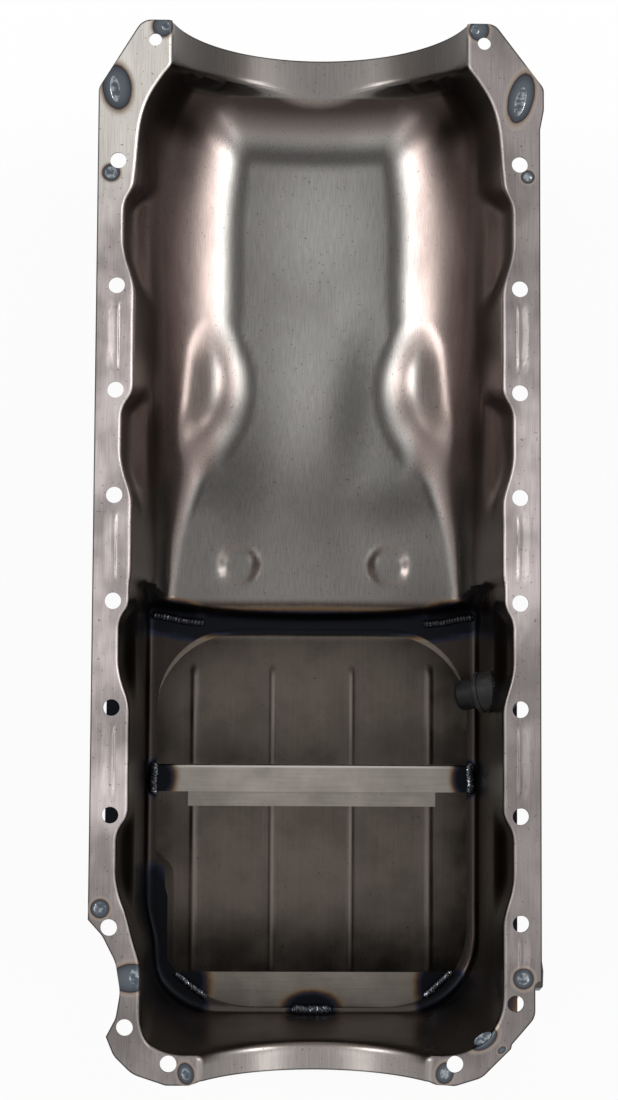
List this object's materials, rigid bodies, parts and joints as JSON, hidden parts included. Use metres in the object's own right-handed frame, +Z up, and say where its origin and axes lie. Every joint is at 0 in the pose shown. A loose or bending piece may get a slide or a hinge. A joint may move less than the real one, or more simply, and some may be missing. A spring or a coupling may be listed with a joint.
{
  "type": "engine oil pan",
  "caption": "Deep-drawn steel engine oil pan with a flanged gasket rail, shallow front bay and welded wide sump box with baffles.",
  "frame": {"origin": "centre of the side rails' bolt pattern, on the gasket face", "axes": "+X to the pan's right side seen from above with the front up, +Y towards the front of the engine, +Z up towards the block"},
  "size_m": [0.2634, 0.5698, 0.2026],
  "materials": {
    "bare_steel": "bare drawn steel, satin, faintly oiled",
    "weld_steel": "rippled weld bead with a blue-black oxide",
    "turned_steel": "turned steel, satin",
    "plated_plug": "dark plated, satin",
    "washer_fibre": "matt sealing fibre",
    "cap_rubber": "matt moulded rubber"
  },
  "bodies": {
    "pan": {"upper_pressing": "bare_steel", "top_plate": "bare_steel", "floor_wrap": "bare_steel", "right_panel": "bare_steel", "left_panel": "bare_steel", "crossbar": "bare_steel", "slosh_baffle": "bare_steel", "rear_shelf": "bare_steel", "crossbar_weld_left": "weld_steel", "crossbar_weld_right": "weld_steel", "shelf_weld_left": "weld_steel", "shelf_weld_right": "weld_steel", "step_weld_left": "weld_steel", "step_weld_right": "weld_steel", "kickout_weld_left": "weld_steel", "kickout_weld_right": "weld_steel", "corner_weld_left": "weld_steel", "corner_weld_right": "weld_steel", "shelf_weld_centre": "weld_steel", "front_weld": "weld_steel", "drain_weld": "weld_steel", "drain_bung": "turned_steel", "port_bung": "turned_steel"},
    "plug": {"drain_plug": "plated_plug", "drain_washer": "washer_fibre"},
    "cap": {"port_cap": "cap_rubber"}
  },
  "joints": [
    {"name": "drain_plug_slide", "type": "slide", "parent": "pan", "child": "plug", "axis": [1, 0, 0], "range_m": [0, 0.03]},
    {"name": "port_cap_slide", "type": "slide", "parent": "pan", "child": "cap", "axis": [0.8997, 0.1586, 0.4067], "range_m": [0, 0.035]}
  ]
}
